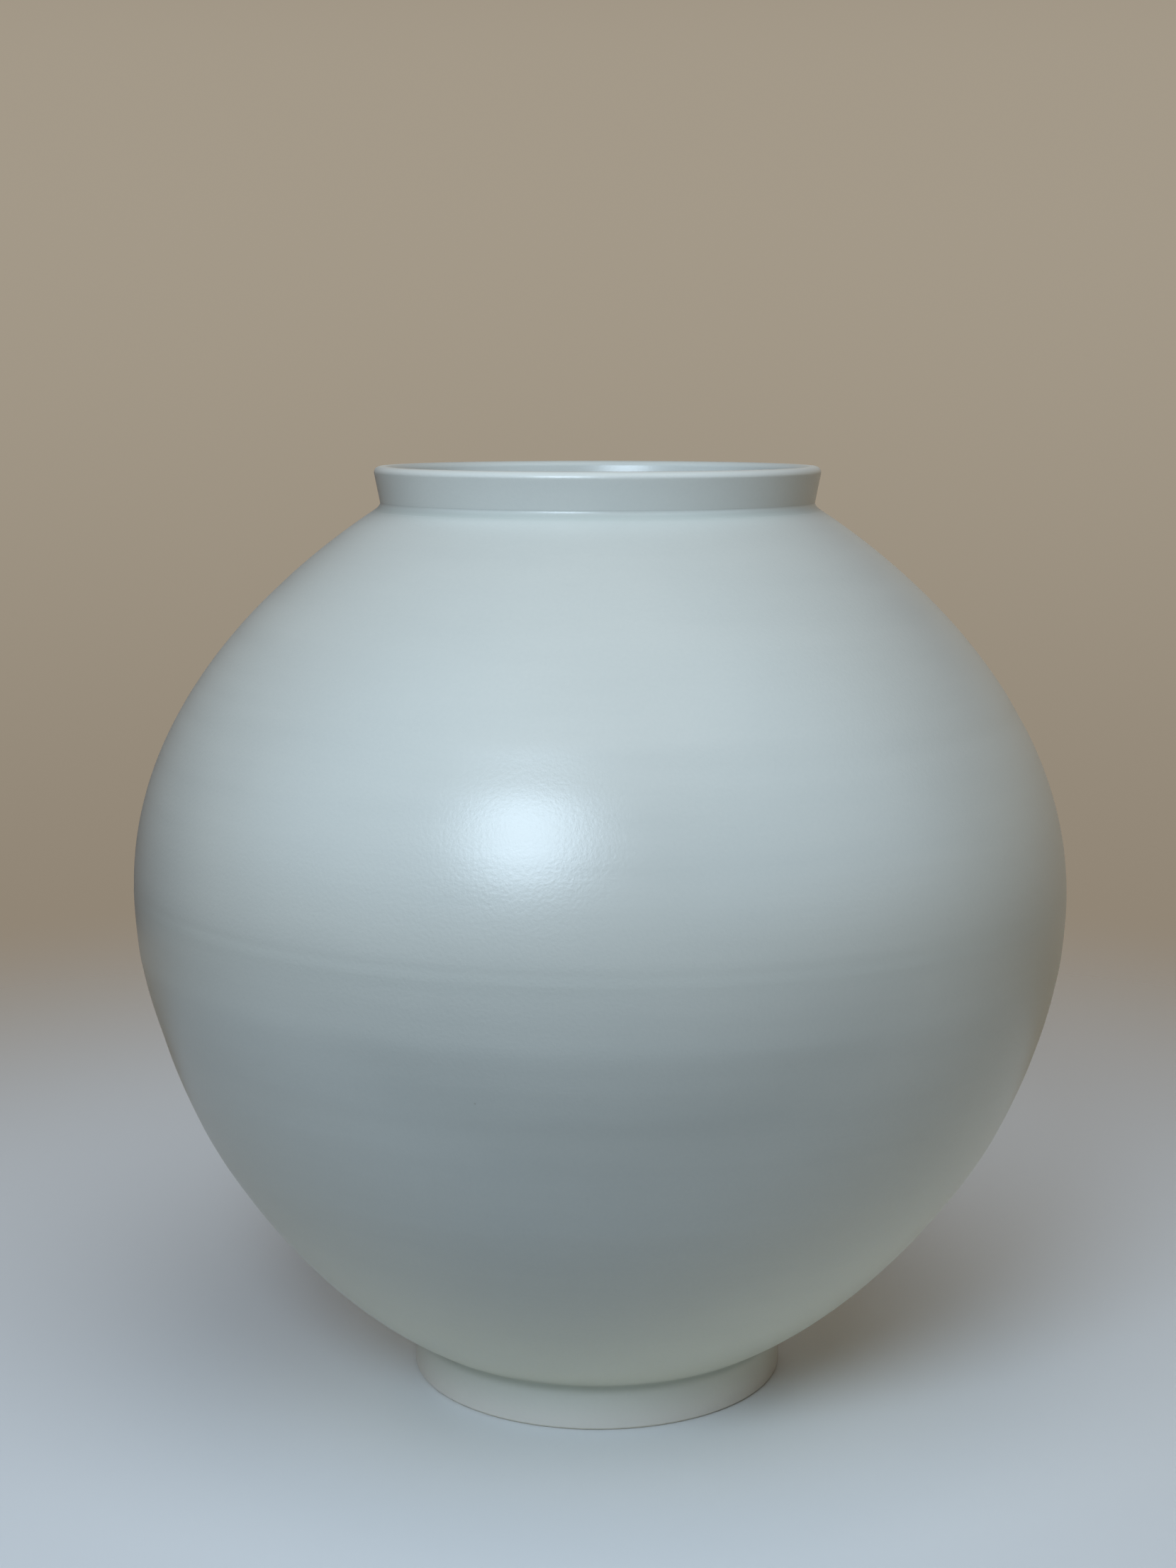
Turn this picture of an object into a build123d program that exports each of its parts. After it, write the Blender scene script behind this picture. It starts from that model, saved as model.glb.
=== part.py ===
from build123d import *
from math import cos, radians, sin, tan
import os

# A moon jar of two thrown bowls, luted rim to rim at the belly, with a luted collar and foot ring.
# Sizes are in mm and degrees. The origin is the centre of the foot's resting face, and +Z runs up
# the axis of the jar. Sections are drawn with x as the radius and y as the height.

# The whole jar
jar_height = 300.0           # resting face to the crest of the lip
belly_radius = 150.9         # widest circle, where the two bowls meet
seam_height = 165.0          # height of that circle
body_wall = 7.0              # clay wall of the bowls at the belly

# Outside curve of the upper bowl, upright at the belly and sloping in to the collar
shoulder_lead = 60.3         # how far the curve pulls along the upright
shoulder_tail = 33.5         # how far it pulls along the slope at the collar
shoulder_slope = 34.0        # from level, at the collar

# Outside curve of the lower bowl, upright at the belly and sloping in to the foot
hip_lead = 61.5
hip_tail = 51.0
hip_slope = 31.0

# Inside of the bowls
floor_fillet = 40.0          # round between the wall and the level floor
mouth_edge = 3.0             # height of the cut edge round the hole in the shoulder

# Collar of the mouth
collar_height = 12.4         # collar clay, from its slip to the crest
collar_radius = 69.5         # outside, where it leaves the shoulder
collar_flare = 2.1           # how much wider the lip is than that
collar_wall = 5.6
collar_ledge = 2.1           # seat that the slip's fillet covers outside the collar
fillet_hollow = 0.4          # depth of that fillet's curve
lip_bevel = 1.6              # outer edge of the crest
lip_round = 1.8              # inner edge of the crest

# Foot ring
foot_height = 14.6           # resting face to the underside of the body
foot_radius = 61.5
foot_width = 9.0             # ring clay where it meets the body
foot_taper = 1.5             # how much the inside opens towards the resting face
foot_bevel = 0.8
base_overhang = 0.9          # how far the body stands out past the ring
base_drop = 5.0              # how far the turned base hangs down inside the ring
base_clearance = 0.3         # between that base and the ring

# Slip joints
slip_thickness = 0.8
slip_recess = 0.3            # how far the slip stays back from the surface
joint_land = 1.7             # flat of the rim on each side of the groove
joint_depth = 3.0            # depth of the groove and of the tongue
bead_height = 8.0            # slip smoothed over the seam inside the belly
bead_rise = 1.2

# Heights and radii that follow from these sizes
collar_root = jar_height - collar_height
seat_height = collar_root - slip_thickness
seat_radius = collar_radius + collar_ledge
mouth_radius = collar_radius - collar_wall
lip_radius = collar_radius + collar_flare
ring_height = foot_height - slip_thickness
ring_bore = foot_radius - foot_width
base_radius = foot_radius + base_overhang
belly_bore = belly_radius - body_wall

belly = Vector(belly_radius, seam_height)
inner_belly = Vector(belly_bore, seam_height)
seat_edge = Vector(seat_radius, seat_height)
base_edge = Vector(base_radius, foot_height)
mouth_corner = Vector(mouth_radius, seat_height - mouth_edge)
hip_inward = Vector(-sin(radians(hip_slope)), cos(radians(hip_slope)))
floor_corner = base_edge + hip_inward * body_wall


def bowl_curve(start, end, lead, tail, slope):
    """Smooth curve of a bowl: upright at start, and on the given slope at end."""
    rise = 1 if end.Y > start.Y else -1
    back = Vector(cos(radians(slope)), -rise * sin(radians(slope)))
    return Bezier(start, start + Vector(0, rise * lead), end + back * tail, end)


def inner_curve(end, lead, tail, slope):
    """Inside curve of a bowl: its pulls are shorter by what an arc's pulls lose over the wall."""
    loss = body_wall * 4 / 3 * tan(radians(90 - slope) / 4)
    return bowl_curve(inner_belly, end, lead - loss, tail - loss, slope)


def outline(*points):
    """Face bounded by straight lines through the points."""
    return make_face(Polyline(*points, close=True))


def body_section():
    """Half section of the body's clay, both bowls in one, with the hollow taken out."""
    underside = foot_height - base_drop
    drop_radius = ring_bore - base_clearance
    drop_corner = (drop_radius, underside)
    drop_root = (drop_radius, foot_height)
    outside = make_face(
        [
            Polyline((0, seat_height), (0, underside), drop_corner, drop_root, base_edge),
            bowl_curve(belly, base_edge, hip_lead, hip_tail, hip_slope),
            bowl_curve(belly, seat_edge, shoulder_lead, shoulder_tail, shoulder_slope),
            Line(seat_edge, (0, seat_height)),
        ]
    )
    hollow = make_face(
        [
            Polyline((0, jar_height), (0, floor_corner.Y), floor_corner),
            inner_curve(floor_corner, hip_lead, hip_tail, hip_slope),
            inner_curve(mouth_corner, shoulder_lead, shoulder_tail, shoulder_slope),
            Polyline(mouth_corner, (mouth_radius, jar_height), (0, jar_height)),
        ]
    )
    hollow = fillet(hollow.vertices().sort_by_distance(floor_corner)[0], floor_fillet)
    return outside - hollow


def joint_line(flat):
    """Line of the belly joint across the wall, from inside out: a V groove between two flats."""
    middle = belly_radius - body_wall / 2
    half = body_wall / 2 - joint_land
    return [(middle - half, flat), (middle, flat - joint_depth), (middle + half, flat)]


def bowl_sections():
    """Half sections of the lower bowl, the upper bowl and the slip that lutes their rims."""
    clay = body_section()
    low_flat = seam_height - slip_thickness / 2
    high_flat = seam_height + slip_thickness / 2
    outer = belly_radius + body_wall
    below = outline((0, 0), (0, low_flat), *joint_line(low_flat), (outer, low_flat), (outer, 0))
    top = jar_height
    above = outline((0, top), (0, high_flat), *joint_line(high_flat), (outer, high_flat), (outer, top))
    lower = clay & below
    upper = clay & above
    slip_edge = belly_radius - slip_recess
    strip = outline(
        (belly_bore, low_flat),
        *joint_line(low_flat),
        (slip_edge, low_flat),
        (slip_edge, high_flat),
        *reversed(joint_line(high_flat)),
        (belly_bore, high_flat),
    )
    bead_low = (belly_bore, seam_height - bead_height / 2)
    bead_high = (belly_bore, seam_height + bead_height / 2)
    bead_top = (belly_bore - bead_rise, seam_height)
    bead = make_face([ThreePointArc(bead_low, bead_top, bead_high), Line(bead_high, bead_low)])
    return lower, upper, strip + bead - lower - upper


def collar_sections():
    """Half sections of the collar and of the slip that seats it on the shoulder."""
    root_inner = (mouth_radius, collar_root)
    root_outer = (collar_radius, collar_root)
    arris = (lip_radius, jar_height - lip_bevel)
    crest_outer = (lip_radius - lip_bevel, jar_height)
    crest_inner = (lip_radius - collar_wall + lip_round, jar_height)
    lip_inner = (lip_radius - collar_wall, jar_height - lip_round)
    collar = make_face(
        [
            Polyline(root_inner, root_outer, arris, crest_outer, crest_inner),
            TangentArc(crest_inner, lip_inner, tangent=(-1, 0)),
            Line(lip_inner, root_inner),
        ]
    )
    fillet_low = (seat_radius, seat_height)
    fillet_high = (collar_radius, collar_root + collar_ledge)
    slip_root = (mouth_radius + slip_recess, collar_root)
    slip_seat = (mouth_radius + slip_recess, seat_height)
    slip = make_face(
        [
            Polyline(fillet_high, root_outer, slip_root, slip_seat, fillet_low),
            SagittaArc(fillet_low, fillet_high, -fillet_hollow),
        ]
    )
    return collar, slip - collar


def foot_sections():
    """Half sections of the foot ring and of the slip that lutes it under the body."""
    rest_bore = ring_bore + foot_taper
    ring = outline(
        (ring_bore, ring_height),
        (rest_bore, 0),
        (foot_radius - foot_bevel, 0),
        (foot_radius, foot_bevel),
        (foot_radius, ring_height),
    )
    slip_edge = foot_radius - slip_recess
    slip = outline(
        (ring_bore, ring_height),
        (slip_edge, ring_height),
        (slip_edge, foot_height),
        (ring_bore, foot_height),
    )
    return ring, slip


def turned(section):
    """Solid that the section sweeps round the jar's axis."""
    return revolve(Plane.XZ * section, Axis.Z)


lower_bowl, upper_bowl, belly_slip = bowl_sections()
mouth_collar, collar_slip = collar_sections()
foot_ring, foot_slip = foot_sections()

sections = {
    "lower_bowl": lower_bowl,
    "upper_bowl": upper_bowl,
    "belly_slip": belly_slip,
    "mouth_collar": mouth_collar,
    "collar_slip": collar_slip,
    "foot_ring": foot_ring,
    "foot_slip": foot_slip,
}

os.makedirs("parts", exist_ok=True)
for name, section in sections.items():
    export_step(turned(section), f"parts/{name}.step")
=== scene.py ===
"""Dresses the moon jar: the turned clay, its satin glaze, a plain studio and the camera.

Lengths are in metres, in the frame of the solids: the origin is the centre of the
resting face, and +Z runs up the axis that the jar is turned on. Half sections lie in
the XZ plane, with X as the radius and Z as the height.
"""

import logging
import math
import random
from dataclasses import dataclass
from enum import Enum

import bmesh
import bpy
from bpy.types import Material, Node, NodeSocket, NodeTree, Object
from mathutils import Matrix, Vector
from mathutils.geometry import interpolate_bezier


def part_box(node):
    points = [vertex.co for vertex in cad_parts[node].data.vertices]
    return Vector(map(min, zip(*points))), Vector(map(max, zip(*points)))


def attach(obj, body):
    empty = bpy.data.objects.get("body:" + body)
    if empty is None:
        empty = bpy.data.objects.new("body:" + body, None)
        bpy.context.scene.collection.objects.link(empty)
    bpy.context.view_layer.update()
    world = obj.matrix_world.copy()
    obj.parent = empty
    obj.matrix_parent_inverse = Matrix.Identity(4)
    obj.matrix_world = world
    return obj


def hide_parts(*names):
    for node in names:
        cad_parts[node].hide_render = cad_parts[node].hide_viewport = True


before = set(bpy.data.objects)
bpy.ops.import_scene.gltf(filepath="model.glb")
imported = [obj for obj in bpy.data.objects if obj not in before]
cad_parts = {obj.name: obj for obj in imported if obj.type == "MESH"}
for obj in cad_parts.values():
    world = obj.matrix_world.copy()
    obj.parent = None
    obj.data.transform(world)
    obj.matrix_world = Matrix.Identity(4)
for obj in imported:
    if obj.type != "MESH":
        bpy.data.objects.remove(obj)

log = logging.getLogger("moon_jar")
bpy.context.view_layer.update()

MM = 0.001
# Degrees from level at which the wall comes to the collar and to the foot.
SHOULDER_SLOPE = 33.0
HIP_SLOPE = 29.0
Colour = tuple[float, float, float, float]


class Way(Enum):
    """Which way a bowl leaves the belly."""

    UP = 1
    DOWN = -1


class Slot(Enum):
    """Material slots of the record, which the pieces name in the log."""

    GLAZE = "white_glaze"
    SLIP = "joint_slip"


def at(radius: float, height: float) -> Vector:
    """Point of a half section."""
    return Vector((radius, 0.0, height))


def cubic(knots: tuple[Vector, Vector, Vector, Vector], share: float) -> Vector:
    """Point of a cubic curve.

    Args:
        knots: Start, two pulls and end of the curve.
        share: How far along the curve, from 0 to 1.

    Returns:
        The point.
    """
    first, second, third = (a.lerp(b, share) for a, b in zip(knots, knots[1:]))
    return first.lerp(second, share).lerp(second.lerp(third, share), share)


def rounded(start: Vector, corner: Vector, end: Vector, pull: float, rows: int) -> list[Vector]:
    """Curve that rounds a corner.

    Args:
        start: Where the curve leaves the first line.
        corner: Where the two lines would meet.
        end: Where the curve joins the second line.
        pull: How far the curve is pulled to the corner, from 0 to 1.
        rows: How many points it has.

    Returns:
        The points, both ends among them.
    """
    pulls = start.lerp(corner, pull), end.lerp(corner, pull)
    return interpolate_bezier(start, *pulls, end, rows)


def place_shape(name: str, shape: bmesh.types.BMesh) -> Object:
    """Puts a finished shape into the scene and frees it.

    Args:
        name: Name of the object and of its mesh.
        shape: The finished shape.

    Returns:
        The object.
    """
    mesh = bpy.data.meshes.new(name)
    shape.to_mesh(mesh)
    shape.free()
    thing = bpy.data.objects.new(name, mesh)
    bpy.context.scene.collection.objects.link(thing)
    return thing


@dataclass(frozen=True)
class JarFrame:
    """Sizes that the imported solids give, with the few that their boxes don't show."""

    belly_radius: float
    low_rim: float
    seat_height: float
    seat_radius: float
    collar_root: float
    crest: float
    lip_radius: float
    foot_radius: float
    ring_height: float
    base_height: float
    underside: float
    seat_drop: float = 0.7 * MM
    collar_flare: float = 2.3 * MM
    collar_wall: float = 5.6 * MM
    foot_width: float = 9.0 * MM
    base_overhang: float = 0.9 * MM
    base_lift: float = 0.5 * MM
    seam_band: float = 2.0 * MM

    @classmethod
    def read(cls) -> "JarFrame":
        """Reads the sizes from the boxes of the frame's nodes.

        Returns:
            The sizes.
        """
        bowl_low, bowl_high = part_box("lower_bowl")
        collar_low, collar_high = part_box("mouth_collar")
        fillet_low, fillet_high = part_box("collar_slip")
        ring_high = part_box("foot_ring")[1]
        return cls(
            belly_radius=bowl_high.x,
            low_rim=bowl_high.z,
            seat_height=fillet_low.z - cls.seat_drop,
            seat_radius=fillet_high.x,
            collar_root=collar_low.z - cls.seat_drop,
            crest=collar_high.z,
            lip_radius=collar_high.x,
            foot_radius=ring_high.x,
            ring_height=ring_high.z,
            base_height=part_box("foot_slip")[1].z,
            underside=bowl_low.z,
        )

    @property
    def slip(self) -> float:
        """Thickness of a slip layer."""
        return self.base_height - self.ring_height

    @property
    def seam(self) -> float:
        """Height of the belly seam, in the middle of its slip."""
        return self.low_rim + self.slip / 2

    @property
    def collar_radius(self) -> float:
        """Outside of the collar where it leaves the shoulder."""
        return self.lip_radius - self.collar_flare

    @property
    def mouth_radius(self) -> float:
        """Hole in the shoulder under the collar."""
        return self.collar_radius - self.collar_wall

    @property
    def ring_bore(self) -> float:
        """Inside of the foot ring where it meets the body."""
        return self.foot_radius - self.foot_width

    @property
    def base_edge(self) -> Vector:
        """Where the hip ends over the foot ring."""
        return at(self.foot_radius + self.base_overhang, self.base_height + self.base_lift)


@dataclass(frozen=True)
class TurningMark:
    """A faint ring that throwing and trimming leave, strongest on one side of the jar.

    The fade is how much of it is lost on the other side, and it ends at its reach, which
    is counted in spreads.
    """

    height: float
    spread: float
    rise: float
    side: float = -math.pi / 2
    fade: float = 0.4
    reach: float = 3.0

    def at(self, turn: float, height: float) -> float:
        """How far the surface stands out at a place.

        Args:
            turn: Angle round the axis.
            height: Height on the true form.

        Returns:
            The distance, which is negative where the surface is hollow.
        """
        off = (height - self.height) / self.spread
        if abs(off) > self.reach:
            return 0.0
        lost = self.fade * (1 - math.cos(turn - self.side)) / 2
        return self.rise * math.exp(-off * off) * (1 - lost)


@dataclass(frozen=True)
class FaintMarks:
    """The many faint wheel marks between the main ones, the same at every run."""

    count: int = 46
    low: float = 34 * MM
    high: float = 276 * MM
    narrow: float = 1.4 * MM
    wide: float = 3.4 * MM
    steepest: float = 0.009
    least_fade: float = 0.6
    seed: int = 41

    def draw(self) -> tuple[TurningMark, ...]:
        """Draws the marks.

        Returns:
            The marks.
        """
        dice = random.Random(self.seed)
        marks = []
        for _ in range(self.count):
            spread = dice.uniform(self.narrow, self.wide)
            marks.append(
                TurningMark(
                    height=dice.uniform(self.low, self.high),
                    spread=spread,
                    rise=spread * dice.uniform(-self.steepest, self.steepest),
                    side=dice.uniform(-math.pi, math.pi),
                    fade=dice.uniform(self.least_fade, 1.0),
                )
            )
        return tuple(marks)


@dataclass(frozen=True)
class PotterHand:
    """What throwing, trimming and joining by hand do to a truly turned form."""

    foot: float
    seat: float
    marks: tuple[TurningMark, ...]
    tilt: float = math.radians(0.45)
    lean: float = 0.9 * MM
    sway: float = 0.45 * MM
    sway_top: float = 0.5
    oval: float = 0.18 * MM
    oval_turn: float = 0.7
    lobe: float = 0.08 * MM
    lobe_turn: float = 2.1

    def share(self, height: float, top: float = 1.0) -> float:
        """How much of a drift a height takes: all midway, none at its ends.

        Args:
            height: Height on the true form.
            top: Upper end of the drift, as a share of the body's height.

        Returns:
            The share.
        """
        along = (height - self.foot) / (self.seat - self.foot) / top
        return math.sin(math.pi * min(max(along, 0.0), 1.0)) ** 2

    def moved(self, point: Vector) -> Vector:
        """Moves a point of the true form to where the hand left it.

        Args:
            point: A vertex of the turned piece.

        Returns:
            The vertex with the turning marks, and with the body's tilt, lean and sway and its
            slight want of roundness.
        """
        share = self.share(point.z)
        turn = math.atan2(point.y, point.x)
        swell = self.oval * math.cos(2 * (turn - self.oval_turn))
        swell += self.lobe * math.cos(3 * (turn - self.lobe_turn))
        relief = sum(mark.at(turn, point.z) for mark in self.marks)
        out = (share * swell + relief) / max(math.hypot(point.x, point.y), MM)
        drift = self.lean * share + self.sway * self.share(point.z, self.sway_top)
        return Vector(
            (
                point.x * (1 + out) + drift,
                point.y * (1 + out),
                point.z - self.tilt * point.x * share,
            )
        )


@dataclass(frozen=True)
class BowlCurve:
    """Line of a bowl's wall: upright at the belly and on a slope at its other end.

    The lead and the tail are how far the curve pulls at its two ends, and the slope is
    from level, in degrees.
    """

    lead: float
    tail: float
    slope: float
    way: Way
    crowding: float = 0.45

    def points(self, belly: Vector, end: Vector, rows: int, loss: float = 0.0) -> list[Vector]:
        """Points along the wall, closer together near the seam.

        Args:
            belly: Start of the line at the belly.
            end: Other end of the line.
            rows: Steps along the line.
            loss: How much shorter both pulls are, for the inside of the wall.

        Returns:
            The points, both ends among them.
        """
        slope = math.radians(self.slope)
        rise = self.way.value
        lead = belly + at(0, rise * (self.lead - loss))
        tail = end + at(math.cos(slope), -rise * math.sin(slope)) * (self.tail - loss)
        shares = [step / rows for step in range(rows + 1)]
        knots = (belly, lead, tail, end)
        return [cubic(knots, s * (self.crowding + (1 - self.crowding) * s)) for s in shares]

    def loss(self, wall: float) -> float:
        """How much shorter the inside's pulls are for a wall of even thickness."""
        return wall * 4 / 3 * math.tan(math.radians(90 - self.slope) / 4)


@dataclass(frozen=True)
class Corner:
    """Corner of a half section that is eased round."""

    place: Vector
    ease: float
    steps: int = 3


@dataclass(frozen=True)
class Wheel:
    """Turns half sections round the jar's axis into pieces."""

    hand: PotterHand
    steps: int = 192
    near: float = 0.001 * MM
    catch: float = 0.01 * MM
    sharp: float = math.radians(38)

    def turn(
        self,
        name: str,
        section: list[Vector],
        corners: tuple[Corner, ...] = (),
        closed: bool = True,
    ) -> Object:
        """Turns a half section round the axis.

        Args:
            name: Name of the piece.
            section: Points of the half section, in order.
            corners: Corners to ease.
            closed: Whether the last point joins the first; if not, both lie on the axis.

        Returns:
            The finished piece, linked into the scene.
        """
        clay = bmesh.new()
        wire = [clay.verts.new(point) for point in section]
        lines = [clay.edges.new(pair) for pair in zip(wire, wire[1:])]
        if closed:
            lines.append(clay.edges.new((wire[-1], wire[0])))
        bmesh.ops.spin(
            clay,
            geom=wire + lines,
            cent=(0, 0, 0),
            axis=(0, 0, 1),
            angle=math.tau,
            steps=self.steps,
            use_merge=True,
        )
        bmesh.ops.remove_doubles(clay, verts=clay.verts, dist=self.near)
        for corner in corners:
            self.ease(clay, corner)
        bmesh.ops.recalc_face_normals(clay, faces=clay.faces)
        for vert in clay.verts:
            vert.co = self.hand.moved(vert.co)
        piece = place_shape(name, clay)
        piece.data.shade_smooth()
        piece.data.set_sharp_from_angle(angle=self.sharp)
        return piece

    def ease(self, clay: bmesh.types.BMesh, corner: Corner) -> None:
        """Rounds the ring of edges at a corner.

        Args:
            clay: Mesh in work.
            corner: Where the ring is, and how far it is eased.
        """

        def on_ring(vert: bmesh.types.BMVert) -> bool:
            """Whether a vertex lies on the corner's ring."""
            radius = math.hypot(vert.co.x, vert.co.y)
            return (at(radius, vert.co.z) - corner.place).length < self.catch

        ring = [edge for edge in clay.edges if all(on_ring(vert) for vert in edge.verts)]
        bmesh.ops.bevel(
            clay,
            geom=ring,
            offset=corner.ease,
            offset_type="OFFSET",
            affect="EDGES",
            segments=corner.steps,
            profile=0.5,
            material=-1,
        )


class NodeSheet:
    """A node tree that is filled step by step."""

    def __init__(self, tree: NodeTree) -> None:
        """Starts with an empty tree."""
        self.tree = tree
        tree.nodes.clear()

    def add(self, kind: str, **settings: object) -> Node:
        """Adds a node.

        Args:
            kind: Blender's name of the node.
            **settings: Properties of the node.

        Returns:
            The node.
        """
        node = self.tree.nodes.new(kind)
        for key, value in settings.items():
            setattr(node, key, value)
        return node

    def link(self, source: NodeSocket, target: NodeSocket) -> None:
        """Joins an output to an input."""
        self.tree.links.new(source, target)

    def feed(self, value: object, target: NodeSocket) -> None:
        """Joins an output to an input, or sets the input to a plain value.

        Args:
            value: Output or plain value.
            target: The input.
        """
        if isinstance(value, NodeSocket):
            self.link(value, target)
        else:
            target.default_value = value

    def math(self, operation: str, *values: object, clamp: bool = False) -> NodeSocket:
        """Works out a number.

        Args:
            operation: Blender's name of the operation.
            *values: Outputs or plain numbers.
            clamp: Whether the result is held between 0 and 1.

        Returns:
            The result.
        """
        node = self.add("ShaderNodeMath", operation=operation, use_clamp=clamp)
        for value, socket in zip(values, node.inputs):
            self.feed(value, socket)
        return node.outputs[0]

    def blend(self, share: object, first: object, second: object) -> NodeSocket:
        """Blends two colours.

        Args:
            share: How much of the second colour.
            first: Output or plain colour.
            second: Output or plain colour.

        Returns:
            The blended colour.
        """
        node = self.add("ShaderNodeMix", data_type="RGBA")
        self.feed(share, node.inputs["Factor"])
        self.feed(first, node.inputs["A"])
        self.feed(second, node.inputs["B"])
        return node.outputs["Result"]

    def spread(self, value: object, low: float, high: float) -> NodeSocket:
        """Maps 0 to 1 on a range, held at its ends.

        Args:
            value: Output to map.
            low: What 0 becomes.
            high: What 1 becomes.

        Returns:
            The mapped value.
        """
        node = self.add("ShaderNodeMapRange", clamp=True)
        self.feed(value, node.inputs["Value"])
        node.inputs["To Min"].default_value = low
        node.inputs["To Max"].default_value = high
        return node.outputs["Result"]

    def place(self) -> NodeSocket:
        """The point on the piece, in the jar's frame."""
        return self.add("ShaderNodeTexCoord").outputs["Object"]

    def axes(self, place: NodeSocket) -> dict[str, NodeSocket]:
        """Splits a point.

        Args:
            place: The point.

        Returns:
            Its X, Y and Z.
        """
        node = self.add("ShaderNodeSeparateXYZ")
        self.link(place, node.inputs[0])
        return {axis: node.outputs[axis] for axis in "XYZ"}

    def noise(
        self, place: NodeSocket, scale: object, detail: float, roughness: float
    ) -> NodeSocket:
        """Adds soft noise.

        Args:
            place: Point that the noise is read at.
            scale: Output or plain number of waves per unit.
            detail: Layers of finer noise.
            roughness: How strong the finer layers are.

        Returns:
            The noise, from 0 to 1.
        """
        node = self.add("ShaderNodeTexNoise", noise_dimensions="3D")
        self.link(place, node.inputs["Vector"])
        self.feed(scale, node.inputs["Scale"])
        node.inputs["Detail"].default_value = detail
        node.inputs["Roughness"].default_value = roughness
        return node.outputs["Fac"]

    def relief(self, height: NodeSocket, depth: float, shader: Node) -> None:
        """Gives a shader fine relief.

        Args:
            height: Height of the relief, from 0 to 1.
            depth: Distance that a height of 1 stands for.
            shader: Shader that takes the relief.
        """
        bump = self.add("ShaderNodeBump")
        bump.inputs["Distance"].default_value = depth
        self.link(height, bump.inputs["Height"])
        self.link(bump.outputs["Normal"], shader.inputs["Normal"])

    def group(self, tree: NodeTree, **values: object) -> Node:
        """Places a shared effect.

        Args:
            tree: The effect's node group.
            **values: Values for its inputs, with spaces as underscores.

        Returns:
            The group's node.
        """
        node = self.add("ShaderNodeGroup", node_tree=tree)
        for key, value in values.items():
            self.feed(value, node.inputs[key.replace("_", " ")])
        return node


class Effects:
    """Shared effects of the finishes, each a node group that is built once."""

    def __init__(self) -> None:
        """Builds the groups."""
        self.bands = self.turning_bands()
        self.grain = self.satin_grain()
        self.pool = self.pool_and_painted_light()
        self.specks = self.iron_specks()

    def start(
        self, name: str, inputs: dict[str, float], outputs: tuple[str, ...]
    ) -> tuple[NodeSheet, Node, Node]:
        """Starts a group with its sockets.

        Args:
            name: Name of the group.
            inputs: Names of its inputs, with their usual values.
            outputs: Names of its outputs.

        Returns:
            The empty sheet, and its input and output nodes.
        """
        tree = bpy.data.node_groups.new(name, "ShaderNodeTree")
        sheet = NodeSheet(tree)
        for key, value in inputs.items():
            socket = tree.interface.new_socket(key, in_out="INPUT", socket_type="NodeSocketFloat")
            socket.default_value = value
        for key in outputs:
            tree.interface.new_socket(key, in_out="OUTPUT", socket_type="NodeSocketFloat")
        return sheet, sheet.add("NodeGroupInput"), sheet.add("NodeGroupOutput")

    def turning_bands(self) -> NodeTree:
        """Level bands of varying height that run round the jar, as the wheel leaves them.

        Returns:
            The node group.
        """
        sheet, source, target = self.start(
            "turning_bands", {"Rings per metre": 90.0, "Wander": 7.0}, ("Band",)
        )
        axes = sheet.axes(sheet.place())
        join = sheet.add("ShaderNodeCombineXYZ")
        for axis, scale in (("X", "Wander"), ("Y", "Wander"), ("Z", "Rings per metre")):
            sheet.link(sheet.math("MULTIPLY", axes[axis], source.outputs[scale]), join.inputs[axis])
        noise = sheet.noise(join.outputs[0], scale=1.0, detail=4.0, roughness=0.6)
        sheet.link(noise, target.inputs["Band"])
        return sheet.tree

    def satin_grain(self) -> NodeTree:
        """Fine pitting of a satin glaze, and a slow cloud in its tone.

        Returns:
            The node group.
        """
        sheet, source, target = self.start(
            "satin_grain", {"Grains per metre": 950.0, "Clouds per metre": 14.0}, ("Grain", "Cloud")
        )
        place = sheet.place()
        for output, detail in (("Grain", 2.0), ("Cloud", 3.0)):
            scale = source.outputs[f"{output}s per metre"]
            sheet.link(sheet.noise(place, scale, detail, roughness=0.55), target.inputs[output])
        return sheet.tree

    def pool_and_painted_light(self) -> NodeTree:
        """Tone that fades away from a level line, for pooled glaze and for painted shade and light,
        such as the painted shade in the corner over the foot.

        Returns:
            The node group.
        """
        sheet, source, target = self.start("pool_and_painted_light", {"Height": 0.0, "Reach": 0.003}, ("Pool and light",))
        height = sheet.axes(sheet.place())["Z"]
        gap = sheet.math("SUBTRACT", height, source.outputs["Height"])
        share = sheet.math("DIVIDE", gap, source.outputs["Reach"])
        square = sheet.math("MULTIPLY", share, share)
        fall = sheet.math("MULTIPLY", square, -1.0)
        sheet.link(sheet.math("EXPONENT", fall), target.inputs["Pool and light"])
        return sheet.tree

    def iron_specks(self) -> NodeTree:
        """Rare specks of iron in the clay that show through the glaze.

        Returns:
            The node group.
        """
        sheet, source, target = self.start(
            "iron_specks", {"Cells per metre": 60.0, "Size": 0.03, "Share": 0.04}, ("Speck",)
        )
        cells = sheet.add("ShaderNodeTexVoronoi", voronoi_dimensions="3D", feature="F1")
        sheet.link(sheet.place(), cells.inputs["Vector"])
        sheet.link(source.outputs["Cells per metre"], cells.inputs["Scale"])
        inside = sheet.math("DIVIDE", cells.outputs["Distance"], source.outputs["Size"])
        core = sheet.math("SUBTRACT", 1.0, inside, clamp=True)
        split = sheet.add("ShaderNodeSeparateColor")
        sheet.link(cells.outputs["Color"], split.inputs[0])
        chosen = sheet.math("LESS_THAN", split.outputs["Red"], source.outputs["Share"])
        sheet.link(sheet.math("MULTIPLY", core, chosen), target.inputs["Speck"])
        return sheet.tree


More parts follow.
